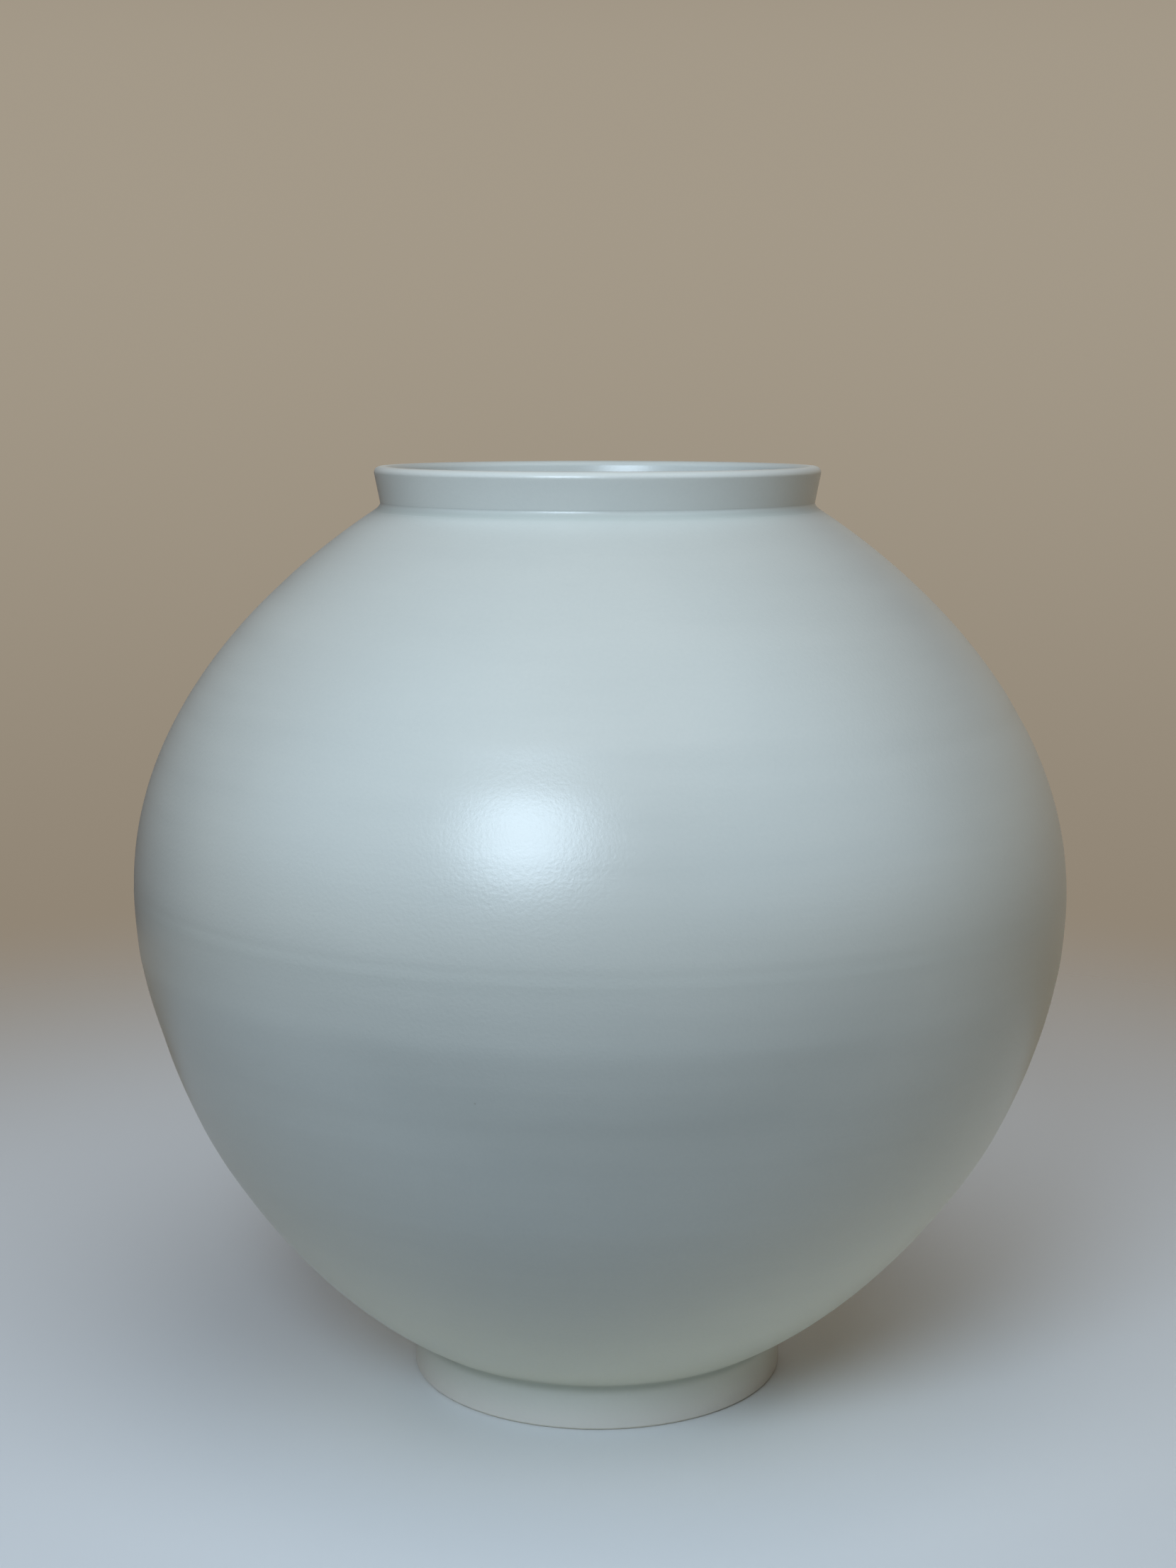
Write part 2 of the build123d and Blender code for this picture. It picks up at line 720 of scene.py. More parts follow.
def start_material(
    name: str, kind: str = "ShaderNodeBsdfPrincipled"
) -> tuple[Material, NodeSheet, Node]:
    """Starts a material.

    Args:
        name: Name of the material.
        kind: Blender's name of the shader that gives its surface.

    Returns:
        The material, its sheet and its shader.
    """
    material = bpy.data.materials.new(name)
    material.use_nodes = True
    sheet = NodeSheet(material.node_tree)
    shader = sheet.add(kind)
    sheet.link(shader.outputs[0], sheet.add("ShaderNodeOutputMaterial").inputs["Surface"])
    return material, sheet, shader


@dataclass(frozen=True)
class PoolAndPaintedLight:
    """A level line where the glaze is darker or lighter, for pooled glaze and for painted shade and
    painted light.
    """

    height: float
    reach: float
    depth: float = 1.0
    tone: Colour = (0.50, 0.56, 0.545, 1.0)


@dataclass(frozen=True)
class GlazeFinish:
    """Satin white glaze over pale clay, a little deeper where it pools, with bands of painted shade
    and painted light.
    """

    name: str
    tone: Colour = (0.572, 0.625, 0.615, 1.0)
    thin: Colour = (0.637, 0.685, 0.667, 1.0)
    speck: Colour = (0.30, 0.28, 0.24, 1.0)
    gloss_low: float = 0.26
    gloss_high: float = 0.36
    ior: float = 1.65
    mirror: float = 0.6
    pitting: float = 0.045 * MM
    band_share: float = 0.8
    grain_share: float = 0.5
    thin_from: float = 0.65
    pool_and_light_bands: tuple[PoolAndPaintedLight, ...] = ()

    def material(self, effects: Effects) -> Material:
        """Builds the finish.

        Args:
            effects: The shared effects.

        Returns:
            The material.
        """
        material, sheet, shader = start_material(self.name)
        bands = sheet.group(effects.bands).outputs["Band"]
        grain = sheet.group(effects.grain)
        specks = sheet.group(effects.specks).outputs["Speck"]
        mixed = sheet.math("MULTIPLY_ADD", bands, self.band_share, grain.outputs["Cloud"])
        mixed = sheet.math("MULTIPLY_ADD", grain.outputs["Grain"], self.grain_share, mixed)
        share = sheet.math("SUBTRACT", mixed, self.thin_from, clamp=True)
        colour = sheet.blend(share, self.tone, self.thin)
        for pool in self.pool_and_light_bands:
            level = sheet.group(effects.pool, Height=pool.height, Reach=pool.reach)
            share = sheet.math("MULTIPLY", level.outputs["Pool and light"], pool.depth)
            colour = sheet.blend(share, colour, pool.tone)
        colour = sheet.blend(specks, colour, self.speck)
        shader.inputs["IOR"].default_value = self.ior
        shader.inputs["Specular IOR Level"].default_value = self.mirror
        sheet.link(colour, shader.inputs["Base Color"])
        sheet.link(sheet.spread(bands, self.gloss_low, self.gloss_high), shader.inputs["Roughness"])
        sheet.relief(sheet.math("ADD", grain.outputs["Grain"], bands), self.pitting, shader)
        return material


@dataclass(frozen=True)
class ClayFinish:
    """Bare fired clay where the glaze is wiped off the resting face."""

    name: str = "bare_clay"
    pale: Colour = (0.50, 0.47, 0.42, 1.0)
    dark: Colour = (0.38, 0.35, 0.30, 1.0)
    speck: Colour = (0.16, 0.13, 0.10, 1.0)
    pitting: float = 0.05 * MM
    grains: float = 2600.0
    clouds: float = 90.0
    speck_cells: float = 900.0
    speck_size: float = 0.3
    speck_share: float = 0.12
    rough_low: float = 0.72
    rough_high: float = 0.88

    def material(self, effects: Effects) -> Material:
        """Builds the finish.

        Args:
            effects: The shared effects.

        Returns:
            The material.
        """
        material, sheet, shader = start_material(self.name)
        grain = sheet.group(
            effects.grain, Grains_per_metre=self.grains, Clouds_per_metre=self.clouds
        )
        specks = sheet.group(
            effects.specks,
            Cells_per_metre=self.speck_cells,
            Size=self.speck_size,
            Share=self.speck_share,
        )
        cloud = grain.outputs["Cloud"]
        colour = sheet.blend(cloud, self.dark, self.pale)
        colour = sheet.blend(specks.outputs["Speck"], colour, self.speck)
        sheet.link(colour, shader.inputs["Base Color"])
        rough = sheet.spread(cloud, self.rough_low, self.rough_high)
        sheet.link(rough, shader.inputs["Roughness"])
        sheet.relief(grain.outputs["Grain"], self.pitting, shader)
        return material


@dataclass(frozen=True)
class Finishes:
    """The jar's materials."""

    glaze: Material
    slip: Material
    clay: Material
    collar: Material


def settle(piece: Object, node: str, slot: Slot, *materials: Material) -> Object:
    """Dresses a piece and sets it in the frame in place of its solid.

    Args:
        piece: The turned piece.
        node: Node of the frame that it stands for.
        slot: Slot of the record that it stands for, which is only logged.
        *materials: Its materials, in the order that its faces count them.

    Returns:
        The piece.
    """
    for material in materials:
        piece.data.materials.append(material)
    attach(piece, "root")
    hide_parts(node)
    log.info("%s: %d faces, %s", piece.name, len(piece.data.polygons), slot.value)
    return piece


@dataclass
class TurnedParts:
    """What the three parts of the jar are turned and dressed with."""

    sizes: JarFrame
    wheel: Wheel
    finishes: Finishes


@dataclass
class Body(TurnedParts):
    """The two thrown bowls and the slip that lutes their rims at the belly."""

    shoulder: BowlCurve = BowlCurve(62.9 * MM, 28.2 * MM, SHOULDER_SLOPE, Way.UP)
    hip: BowlCurve = BowlCurve(61.7 * MM, 50.4 * MM, HIP_SLOPE, Way.DOWN)
    wall: float = 7.0 * MM
    mouth_edge: float = 3.0 * MM
    base_clearance: float = 0.3 * MM
    floor_round: float = 11.1 * MM
    floor_pull: float = 2 / 3
    joint_land: float = 1.7 * MM
    joint_depth: float = 3.0 * MM
    bead_height: float = 8.0 * MM
    bead_rise: float = 1.2 * MM
    seam_recess: float = 0.004 * MM
    rim_gap: float = 0.05 * MM
    floor_gap: float = 1.0 * MM
    outer_rows: int = 300
    inner_rows: int = 56
    floor_rows: int = 12
    base_rows: int = 5
    bead_rows: int = 14

    def build(self) -> list[Object]:
        """Builds and dresses the body's pieces."""
        return [self.lower_bowl(), self.upper_bowl(), self.belly_slip()]

    def joint_line(self, flat: float) -> list[Vector]:
        """Line of the belly joint, from inside out: a V groove between two flats.

        Args:
            flat: Height of the flats.

        Returns:
            The three points of the V.
        """
        middle = self.sizes.belly_radius - self.wall / 2
        half = self.wall / 2 - self.joint_land
        return [
            at(middle - half, flat),
            at(middle, flat - self.joint_depth),
            at(middle + half, flat),
        ]

    def wall_lines(
        self, curve: BowlCurve, outer_end: Vector, inner_end: Vector, rim: float
    ) -> list[list[Vector]]:
        """Outside and inside lines of a bowl, from its rim to its other end.

        Args:
            curve: Line of the wall.
            outer_end: Where the outside line ends.
            inner_end: Where the inside line ends.
            rim: Height of the bowl's rim, a little off the seam.

        Returns:
            The two lists of points.
        """
        belly = at(self.sizes.belly_radius, self.sizes.seam)
        inner_belly = at(self.sizes.belly_radius - self.wall, self.sizes.seam)
        outside = curve.points(belly, outer_end, self.outer_rows)
        inside = curve.points(inner_belly, inner_end, self.inner_rows, curve.loss(self.wall))
        way = curve.way.value
        # The rim's own point stands in for those that are past it or too near to it.
        return [
            [at(start.x, rim), *[p for p in line if (p.z - rim) * way > self.rim_gap]]
            for start, line in ((belly, outside), (inner_belly, inside))
        ]

    def lower_bowl(self) -> Object:
        """The lower bowl: base, hip and the lower half of the belly.

        Returns:
            The piece.
        """
        sizes = self.sizes
        slope = math.radians(self.hip.slope)
        floor_corner = sizes.base_edge + at(-math.sin(slope), math.cos(slope)) * self.wall
        outside, inside = self.wall_lines(self.hip, sizes.base_edge, floor_corner, sizes.low_rim)
        climb = floor_corner + at(math.cos(slope), math.sin(slope)) * self.floor_round
        level = floor_corner - at(self.floor_round, 0)
        floor = rounded(climb, floor_corner, level, self.floor_pull, self.floor_rows)
        drop = sizes.ring_bore - self.base_clearance
        rows = self.base_rows
        section = [
            *[at(level.x * row / rows, level.z) for row in range(rows)],
            *reversed(floor),
            *reversed([p for p in inside if p.z > climb.z + self.floor_gap]),
            *self.joint_line(sizes.low_rim),
            *outside,
            at(drop, sizes.base_height),
            at(drop, sizes.underside),
            *[at(drop * row / rows, sizes.underside) for row in reversed(range(rows))],
        ]
        piece = self.wheel.turn("lower_bowl_glazed", section, closed=False)
        return settle(piece, "lower_bowl", Slot.GLAZE, self.finishes.glaze)

    def upper_bowl(self) -> Object:
        """The upper bowl, turned over: the upper half of the belly and the shoulder.

        Returns:
            The piece.
        """
        sizes = self.sizes
        rim = sizes.low_rim + sizes.slip
        seat_edge = at(sizes.seat_radius, sizes.seat_height)
        mouth_corner = at(sizes.mouth_radius, sizes.seat_height - self.mouth_edge)
        outside, inside = self.wall_lines(self.shoulder, seat_edge, mouth_corner, rim)
        section = [
            *self.joint_line(rim),
            *outside,
            at(sizes.mouth_radius, sizes.seat_height),
            *reversed(inside),
        ]
        piece = self.wheel.turn("upper_bowl_glazed", section)
        return settle(piece, "upper_bowl", Slot.GLAZE, self.finishes.glaze)

    def belly_slip(self) -> Object:
        """The slip between the rims, nearly flush outside and a low bead inside.

        Returns:
            The piece.
        """
        sizes = self.sizes
        low, high = sizes.low_rim, sizes.low_rim + sizes.slip
        edge = sizes.belly_radius - self.seam_recess
        bore = sizes.belly_radius - self.wall
        foot = at(bore, sizes.seam - self.bead_height / 2)
        head = at(bore, sizes.seam + self.bead_height / 2)
        rise = at(-self.bead_rise * 4 / 3, 0)
        lift = at(0, self.bead_height / 6)
        pulls = head + rise - lift, foot + rise + lift
        bead = interpolate_bezier(head, *pulls, foot, self.bead_rows)
        section = [
            at(bore, low),
            *self.joint_line(low),
            at(edge, low),
            at(edge, sizes.seam),
            at(edge, high),
            *reversed(self.joint_line(high)),
            at(bore, high),
            *bead,
        ]
        piece = self.wheel.turn("belly_seam", section)
        return settle(piece, "belly_slip", Slot.SLIP, self.finishes.slip)


@dataclass
class Mouth(TurnedParts):
    """The flared collar with its lip, and the slip fillet that seats it on the shoulder."""

    lip_bevel: float = 1.3 * MM
    lip_round: float = 1.8 * MM
    arris_ease: float = 0.8 * MM
    crest_ease: float = 0.7 * MM
    fillet_rise: float = 1.9 * MM
    fillet_pull: float = 0.62
    slip_recess: float = 0.3 * MM
    fillet_rows: int = 10
    rows: int = 8

    def build(self) -> list[Object]:
        """Builds and dresses the mouth's pieces."""
        return [self.collar(), self.fillet()]

    def flank(self, height: float) -> Vector:
        """Point on the collar's flared outside.

        Args:
            height: Height above the frame's origin.

        Returns:
            The point.
        """
        sizes = self.sizes
        share = (height - sizes.collar_root) / (sizes.crest - self.lip_bevel - sizes.collar_root)
        return at(sizes.collar_radius + sizes.collar_flare * share, height)

    def collar(self) -> Object:
        """The collar: a straight flare outside, a soft bevel and a round lip.

        Returns:
            The piece.
        """
        sizes = self.sizes
        arris = at(sizes.lip_radius, sizes.crest - self.lip_bevel)
        crest = at(sizes.lip_radius - self.lip_bevel, sizes.crest)
        brim = at(sizes.lip_radius - sizes.collar_wall, sizes.crest)
        root = at(sizes.mouth_radius, sizes.collar_root)
        step = (arris.z - sizes.collar_root) / self.rows
        outside = [self.flank(sizes.collar_root + step * row) for row in range(self.rows)]
        # The round of the brim takes the room of the first step inside.
        inside = [brim.lerp(root, row / self.rows) for row in range(2, self.rows)]
        section = [root, *outside, arris, crest, brim, *inside]
        corners = (
            Corner(arris, self.arris_ease, steps=4),
            Corner(crest, self.crest_ease, steps=4),
            Corner(brim, self.lip_round, steps=6),
        )
        piece = self.wheel.turn("mouth_collar_glazed", section, corners)
        # Faces that look towards the axis have the body's glaze; the others have the lighter collar
        # glaze, partly thinner glaze and partly painted light.
        for face in piece.data.polygons:
            face.material_index = int(face.center.xy.dot(face.normal.xy) < 0.0)
        piece.modifiers.new("even_shading", "WEIGHTED_NORMAL").keep_sharp = True
        return settle(piece, "mouth_collar", Slot.GLAZE, self.finishes.collar, self.finishes.glaze)

    def fillet(self) -> Object:
        """The slip under the collar, with its small hollow fillet outside.

        Returns:
            The piece.
        """
        sizes = self.sizes
        slope = math.radians(SHOULDER_SLOPE)
        low = at(sizes.seat_radius, sizes.seat_height)
        high = self.flank(sizes.collar_root + self.fillet_rise)
        reach = sizes.seat_radius - sizes.collar_radius
        corner = low + at(-reach, reach * math.tan(slope))
        hollow = rounded(low, corner, high, self.fillet_pull, self.fillet_rows)
        edge = sizes.mouth_radius + self.slip_recess
        section = [
            *hollow,
            at(sizes.collar_radius, sizes.collar_root),
            at(edge, sizes.collar_root),
            at(edge, sizes.seat_height),
        ]
        piece = self.wheel.turn("collar_fillet", section)
        return settle(piece, "collar_slip", Slot.SLIP, self.finishes.slip)


@dataclass
class Foot(TurnedParts):
    """The foot ring that the jar stands on, and the slip that lutes it under the base."""

    taper: float = 1.5 * MM
    bevel: float = 0.8 * MM
    ease: float = 0.3 * MM
    fillet_drop: float = 2.5 * MM
    fillet_climb: float = 1.9 * MM
    fillet_pull: float = 0.6
    fillet_proud: float = 0.02 * MM
    fillet_sink: float = 0.04 * MM
    fillet_rows: int = 12
    bare_height: float = 0.3 * MM
    rows: int = 10

    def build(self) -> list[Object]:
        """Builds and dresses the foot's pieces."""
        return [self.ring(), self.seam()]

    def ring(self) -> Object:
        """The ring, with bare clay on its resting face.

        Returns:
            The piece.
        """
        sizes = self.sizes
        rest_inner = at(sizes.ring_bore + self.taper, 0)
        rest_outer = at(sizes.foot_radius - self.bevel, 0)
        low = at(sizes.foot_radius, self.bevel)
        high = at(sizes.foot_radius, sizes.ring_height)
        bore = at(sizes.ring_bore, sizes.ring_height)
        section = [
            rest_inner,
            rest_inner.lerp(rest_outer, 0.5),
            rest_outer,
            *[low.lerp(high, row / self.rows) for row in range(self.rows + 1)],
            *[bore.lerp(rest_inner, row / self.rows) for row in range(self.rows)],
        ]
        corners = tuple(Corner(c, self.ease) for c in (rest_inner, rest_outer, low, high))
        piece = self.wheel.turn("foot_ring_glazed", section, corners)
        for face in piece.data.polygons:
            face.material_index = int(face.center.z < self.bare_height)
        piece.modifiers.new("even_shading", "WEIGHTED_NORMAL").keep_sharp = True
        return settle(piece, "foot_ring", Slot.GLAZE, self.finishes.glaze, self.finishes.clay)

    def seam(self) -> Object:
        """The slip between the ring and the base, with a soft hollow where glaze gathers and where
        the finishes paint shade.

        Returns:
            The piece.
        """
        sizes = self.sizes
        slope = math.radians(HIP_SLOPE)
        run = at(math.cos(slope), math.sin(slope))
        corner = sizes.base_edge - run * (sizes.base_overhang / run.x)
        low = corner - at(0, self.fillet_drop)
        high = sizes.base_edge + run * self.fillet_climb
        hollow = rounded(low, corner, high, self.fillet_pull, self.fillet_rows)
        # The hollow starts proud of the ring and sinks into the hip, so that no faces coincide.
        step = (self.fillet_proud + self.fillet_sink) / (self.fillet_rows - 1)
        section = [
            at(sizes.ring_bore, sizes.ring_height),
            at(sizes.foot_radius - self.ease, sizes.ring_height),
            at(sizes.foot_radius - self.ease, low.z),
            *[at(p.x + self.fillet_proud - step * row, p.z) for row, p in enumerate(hollow)],
            sizes.base_edge,
            at(sizes.ring_bore, sizes.base_height),
        ]
        piece = self.wheel.turn("foot_seam", section)
        return settle(piece, "foot_slip", Slot.SLIP, self.finishes.slip)


def outward(azimuth: float, elevation: float = 0.0) -> Vector:
    """Direction from the jar to a place in the studio.

    Args:
        azimuth: Degrees from the camera's side, positive to the right.
        elevation: Degrees above level.

    Returns:
        The direction, of length 1.
    """
    turn, rise = math.radians(azimuth), math.radians(elevation)
    level = math.cos(rise)
    return Vector((math.sin(turn) * level, -math.cos(turn) * level, math.sin(rise)))


@dataclass(frozen=True)
class Softbox:
    """A soft lamp that faces the jar from an azimuth and an elevation."""

    name: str
    azimuth: float
    elevation: float
    distance: float
    width: float
    height: float
    power: float
    tint: tuple[float, float, float]
    mirrored: bool = True

    def build(self, aim: Vector) -> None:
        """Sets up the lamp.

        Args:
            aim: Point that it faces.
        """
        lamp = bpy.data.lights.new(self.name, "AREA")
        lamp.shape = "ELLIPSE"
        lamp.size = self.width
        lamp.size_y = self.height
        lamp.energy = self.power
        lamp.color = self.tint
        back = outward(self.azimuth, self.elevation)
        stand = bpy.data.objects.new(self.name, lamp)
        stand.location = aim + back * self.distance
        stand.rotation_euler = (-back).to_track_quat("-Z", "Y").to_euler()
        stand.visible_camera = False
        stand.visible_glossy = self.mirrored
        bpy.context.scene.collection.objects.link(stand)


@dataclass(frozen=True)
class Flag:
    """A dark card that stands beside the jar, where only the glaze mirrors it."""

    name: str
    azimuth: float
    distance: float
    width: float
    height: float
    tone: Colour = (0.20, 0.09, 0.03, 1.0)

    def build(self, aim: Vector) -> None:
        """Stands the card upright on the floor.

        Args:
            aim: Point that it faces.
        """
        card = bmesh.new()
        bmesh.ops.create_grid(card, x_segments=1, y_segments=1, size=0.5)
        bmesh.ops.scale(card, vec=(self.width, self.height, 1.0), verts=card.verts)
        back = outward(self.azimuth)
        stand = Vector((aim.x, aim.y, self.height / 2)) + back * self.distance
        place = Matrix.Translation(stand) @ back.to_track_quat("Z", "Y").to_matrix().to_4x4()
        bmesh.ops.transform(card, matrix=place, verts=card.verts)
        flag = place_shape(self.name, card)
        flag.visible_camera = False
        flag.visible_diffuse = False
        flag.visible_shadow = False
        material, _, cloth = start_material(self.name, "ShaderNodeBsdfDiffuse")
        cloth.inputs["Color"].default_value = self.tone
        flag.data.materials.append(material)


@dataclass(frozen=True)
class Ramp:
    """Stretch along which a share rises smoothly from 0 to 1."""

    start: float
    end: float

    def share(self, sheet: NodeSheet, value: NodeSocket) -> NodeSocket:
        """Works the share out.

        Args:
            sheet: Node tree in work.
            value: Value that the share follows.

        Returns:
            The share.
        """
        node = sheet.add("ShaderNodeMapRange", interpolation_type="SMOOTHSTEP")
        sheet.link(value, node.inputs["Value"])
        node.inputs["From Min"].default_value = self.start
        node.inputs["From Max"].default_value = self.end
        return node.outputs["Result"]


@dataclass(frozen=True)
class FloorSide:
    """A side of the floor that light off the jar finds in another tone, from one distance on."""

    azimuth: float
    ramp: Ramp
    tone: Colour
    mirrored: bool = False


@dataclass
class Studio:
    """A plain pale floor that fades into a plain backdrop, and soft lamps."""

    aim: Vector
    lamps: tuple[Softbox, ...]
    flags: tuple[Flag, ...]
    sides: tuple[FloorSide, ...]
    floor_radius: float = 2.4
    floor_steps: int = 128
    floor_rough: float = 0.65
    far: Ramp = Ramp(0.26, 0.80)
    near: Ramp = Ramp(0.055, 0.145)
    floor_tone: Colour = (0.71, 0.77, 0.83, 1.0)
    # Painted light on the floor near the jar, where its shadow falls.
    painted_light_near_jar: Colour = (0.85, 0.885, 0.92, 1.0)
    bounce_tone: Colour = (0.98, 0.91, 0.74, 1.0)
    backdrop: Colour = (0.37, 0.32, 0.25, 1.0)
    backdrop_low: Colour = (0.27, 0.225, 0.17, 1.0)
    backdrop_high: Colour = (0.11, 0.05, 0.03, 1.0)
    dusk: Ramp = Ramp(-0.30, 0.10)
    night: Ramp = Ramp(0.13, 0.40)
    behind: Ramp = Ramp(0.0, 0.6)
    front: Ramp = Ramp(-0.35, 0.25)
    aside: Ramp = Ramp(0.1, 0.6)
    above: Ramp = Ramp(0.02, 0.25)
    ambient: Colour = (0.075, 0.053, 0.03, 1.0)
    back_light: Colour = (0.17, 0.10, 0.035, 1.0)
    front_glow: Colour = (0.72, 0.83, 0.94, 1.0)

    def build(self) -> None:
        """Sets up the lamps, the cards, the floor and the backdrop."""
        for lamp in self.lamps:
            lamp.build(self.aim)
        for flag in self.flags:
            flag.build(self.aim)
        self.floor()
        self.world()

    def floor(self) -> None:
        """A large disc under the jar that turns clear towards its edge."""
        disc = bmesh.new()
        bmesh.ops.create_circle(
            disc, cap_ends=True, segments=self.floor_steps, radius=self.floor_radius
        )
        floor = place_shape("studio_floor", disc)
        floor.data.materials.append(self.floor_material())

    def floor_material(self) -> Material:
        """Matt pale paint that fades out far away, lighter near the jar as painted light, and
        darker on some sides, off the camera.

        Returns:
            The material.
        """
        material, sheet, mix = start_material("pale_floor", "ShaderNodeMixShader")
        paint = sheet.add("ShaderNodeBsdfPrincipled")
        paint.inputs["Roughness"].default_value = self.floor_rough
        clear = sheet.add("ShaderNodeBsdfTransparent")
        place = sheet.place()
        length = sheet.add("ShaderNodeVectorMath", operation="LENGTH")
        sheet.link(place, length.inputs[0])
        away = length.outputs["Value"]
        tones = {False: self.bounce_tone, True: self.floor_tone}
        for side in self.sides:
            across = sheet.add("ShaderNodeVectorMath", operation="DOT_PRODUCT")
            sheet.link(place, across.inputs[0])
            across.inputs[1].default_value = outward(side.azimuth)
            share = side.ramp.share(sheet, across.outputs["Value"])
            tones[side.mirrored] = sheet.blend(share, tones[side.mirrored], side.tone)
        path = sheet.add("ShaderNodeLightPath")
        # Painted light: the floor is lighter near the jar, where the jar's own shadow falls.
        tone = sheet.blend(self.near.share(sheet, away), self.painted_light_near_jar, self.floor_tone)
        tone = sheet.blend(path.outputs["Is Diffuse Ray"], tone, tones[False])
        tone = sheet.blend(path.outputs["Is Glossy Ray"], tone, tones[True])
        sheet.link(tone, paint.inputs["Base Color"])
        sheet.link(self.far.share(sheet, away), mix.inputs[0])
        sheet.link(paint.outputs[0], mix.inputs[1])
        sheet.link(clear.outputs[0], mix.inputs[2])
        return material

    def world(self) -> None:
        """A backdrop for what is seen and mirrored, and the faint light that it gives."""
        world = bpy.data.worlds.new("studio")
        bpy.context.scene.world = world
        world.use_nodes = True
        sheet = NodeSheet(world.node_tree)
        output = sheet.add("ShaderNodeOutputWorld")
        light = sheet.add("ShaderNodeBackground")
        shown = sheet.add("ShaderNodeBackground")
        axes = sheet.axes(sheet.add("ShaderNodeTexCoord").outputs["Generated"])
        behind = self.behind.share(sheet, axes["Y"])
        sheet.link(sheet.blend(behind, self.ambient, self.back_light), light.inputs["Color"])
        path = sheet.add("ShaderNodeLightPath")
        wall = sheet.blend(self.dusk.share(sheet, axes["Z"]), self.backdrop_low, self.backdrop)
        wall = sheet.blend(self.night.share(sheet, axes["Z"]), wall, self.backdrop_high)
        front = self.front.share(sheet, sheet.math("MULTIPLY", axes["Y"], -1.0))
        aside = self.aside.share(sheet, sheet.math("ABSOLUTE", axes["X"]))
        above = self.above.share(sheet, axes["Z"])
        glow = sheet.math("MULTIPLY", sheet.math("MULTIPLY", front, aside), above)
        glow = sheet.math("MULTIPLY", glow, path.outputs["Is Glossy Ray"])
        sheet.link(sheet.blend(glow, wall, self.front_glow), shown.inputs["Color"])
        seen = sheet.math("MAXIMUM", path.outputs["Is Camera Ray"], path.outputs["Is Glossy Ray"])
        seen = sheet.math("MAXIMUM", seen, path.outputs["Is Transmission Ray"])
        mix = sheet.add("ShaderNodeMixShader")
        sheet.link(seen, mix.inputs[0])
        sheet.link(light.outputs[0], mix.inputs[1])
        sheet.link(shown.outputs[0], mix.inputs[2])
        sheet.link(mix.outputs[0], output.inputs["Surface"])


@dataclass(frozen=True)
class Viewpoint:
    """The camera, standing where the photograph was taken from."""

    distance: float = 0.762
    height: float = 0.3192
    dip: float = 9.14
    swing: float = 0.229
    lens: float = 54.07
    sensor: float = 36.0
    clip: float = 0.01

    def build(self) -> None:
        """Sets up the camera."""
        camera = bpy.data.cameras.new("viewpoint")
        camera.lens = self.lens
        camera.sensor_width = self.sensor
        camera.clip_start = self.clip
        stand = bpy.data.objects.new("viewpoint", camera)
        stand.location = (0.0, -self.distance, self.height)
        stand.rotation_euler = (math.radians(90 - self.dip), 0.0, math.radians(self.swing))
        bpy.context.scene.collection.objects.link(stand)
        bpy.context.scene.camera = stand


LEFT, FRONT, RIGHT = (math.radians(turn) for turn in (-135, -90, -45))

# The height, spread and rise of each mark, the side where it is strongest, and its fade.
MAIN_MARKS = (
    TurningMark(168.6 * MM, 1.5 * MM, -0.037 * MM, LEFT, 0.8),
    TurningMark(165.3 * MM, 1.6 * MM, 0.031 * MM, LEFT, 0.7),
    TurningMark(262.0 * MM, 3.0 * MM, -0.11 * MM, LEFT, 1.0),
    TurningMark(232.0 * MM, 2.1 * MM, -0.07 * MM, LEFT, 1.0),
    TurningMark(222.0 * MM, 4.6 * MM, -0.17 * MM, RIGHT, 0.9),
    TurningMark(146.0 * MM, 4.8 * MM, 0.165 * MM, FRONT, 0.8),
    TurningMark(126.5 * MM, 4.0 * MM, 0.07 * MM, FRONT, 0.9),
    TurningMark(114.0 * MM, 2.6 * MM, 0.045 * MM, LEFT, 1.0),
    TurningMark(88.5 * MM, 3.6 * MM, 0.07 * MM),
    TurningMark(84.0 * MM, 15.0 * MM, 0.45 * MM, FRONT, 0.0),
    TurningMark(122.0 * MM, 12.0 * MM, -0.45 * MM, math.pi, 0.8),
)

LAMPS = (
    Softbox(
        "window", azimuth=-17.2, elevation=29.6, distance=1.145, width=0.49, height=0.52,
        power=5.95, tint=(0.70, 0.86, 1.015),
    ),
    Softbox(
        "overhead", azimuth=8.0, elevation=66.0, distance=1.9, width=2.0, height=1.6,
        power=19.2, tint=(0.92, 0.98, 1.02), mirrored=False,
    ),
    Softbox(
        "rear_fill", azimuth=180.0, elevation=-2.0, distance=1.5, width=0.9, height=0.20,
        power=8.5, tint=(0.94, 0.97, 1.0), mirrored=False,
    ),
)

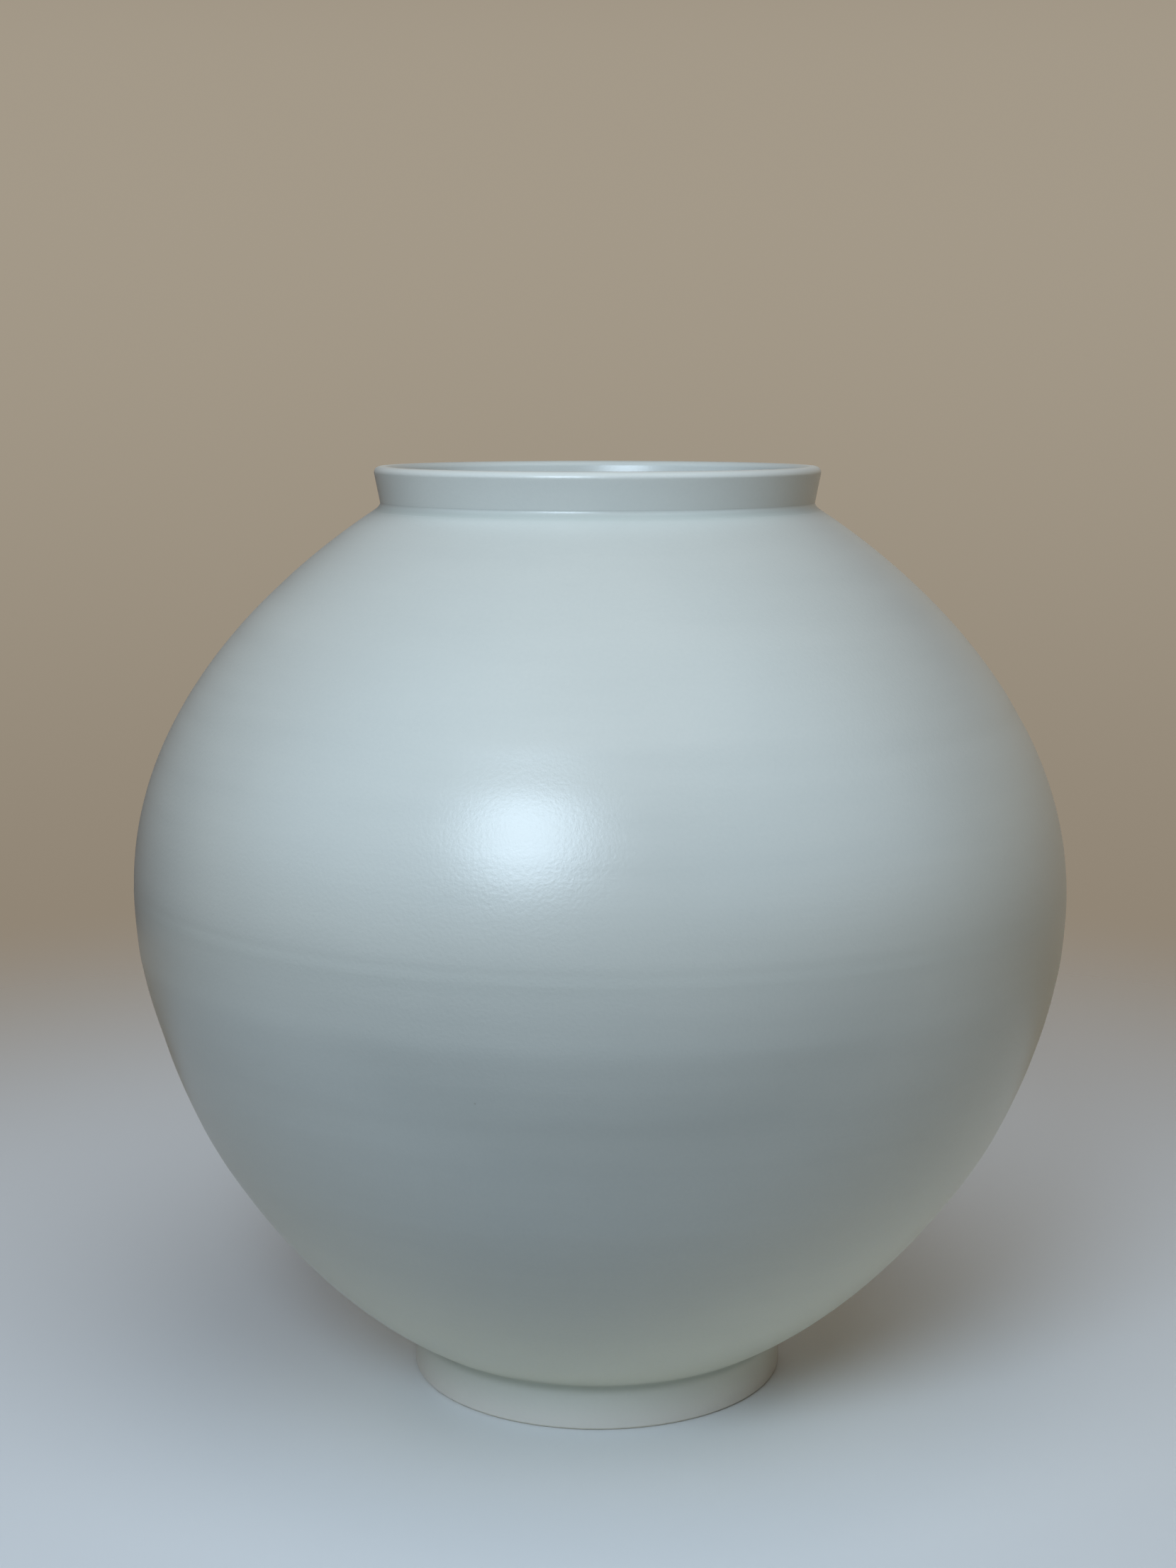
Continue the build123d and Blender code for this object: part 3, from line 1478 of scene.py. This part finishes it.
FLAGS = (Flag("left_flag", azimuth=-136.0, distance=0.70, width=0.85, height=0.60),)
DIM = (0.03, 0.03, 0.03, 1.0)
SIDES = (
    FloorSide(-9.0, Ramp(0.106, 0.172), DIM),
    FloorSide(-127.0, Ramp(0.05, 0.17), DIM),
    FloorSide(0.0, Ramp(0.195, 0.225), (0.10, 0.085, 0.07, 1.0), mirrored=True),
    FloorSide(180.0, Ramp(0.19, 0.24), (0.37, 0.29, 0.20, 1.0), mirrored=True),
)


def jar_finishes(sizes: JarFrame) -> Finishes:
    """Builds the jar's finishes.

    Args:
        sizes: Sizes of the jar, for the heights where the glaze gathers and where shade and light
            are painted.

    Returns:
        The finishes.
    """
    effects = Effects()
    pool_and_light_bands = (
        # Painted light: the glaze is lighter and warmer low on the foot, as light off the floor
        # would make it.
        PoolAndPaintedLight(0.0, reach=9.0 * MM, tone=(0.70, 0.705, 0.70, 1.0)),
        # Painted shade in the corner over the foot, with some glaze gathered there.
        PoolAndPaintedLight(sizes.base_height, reach=1.9 * MM, tone=(0.39, 0.44, 0.425, 1.0)),
        # Painted shade: a faint darker band just above the belly seam, where its groove is shaded.
        PoolAndPaintedLight(sizes.seam + sizes.seam_band, reach=4.5 * MM, depth=0.2),
        PoolAndPaintedLight(sizes.collar_root, reach=1.2 * MM),
    )
    glaze = GlazeFinish("satin_white_glaze", pool_and_light_bands=pool_and_light_bands)
    slip = GlazeFinish("glazed_slip", tone=(0.566, 0.619, 0.608, 1.0), pool_and_light_bands=pool_and_light_bands)
    # Lighter glaze on the collar's outside: partly thinner glaze, partly painted light.
    collar = GlazeFinish(
        "collar_glaze_with_painted_light",
        tone=(0.665, 0.72, 0.705, 1.0),
        thin=(0.735, 0.775, 0.755, 1.0),
        pool_and_light_bands=pool_and_light_bands,
    )
    return Finishes(
        glaze=glaze.material(effects),
        slip=slip.material(effects),
        clay=ClayFinish().material(effects),
        collar=collar.material(effects),
    )


def main() -> None:
    """Builds the jar, the studio and the camera."""
    logging.basicConfig(level=logging.INFO, format="%(name)s %(message)s")
    bpy.context.scene.view_settings.view_transform = "Standard"
    sizes = JarFrame.read()
    finishes = jar_finishes(sizes)
    marks = MAIN_MARKS + FaintMarks().draw()
    wheel = Wheel(PotterHand(sizes.base_height, sizes.seat_height, marks))
    for part in (Body, Mouth, Foot):
        pieces = part(sizes, wheel, finishes).build()
        log.info("%s: %d pieces", part.__name__, len(pieces))
    Studio(Vector((0.0, 0.0, sizes.seam)), LAMPS, FLAGS, SIDES).build()
    Viewpoint().build()


if __name__ == "__main__":
    main()
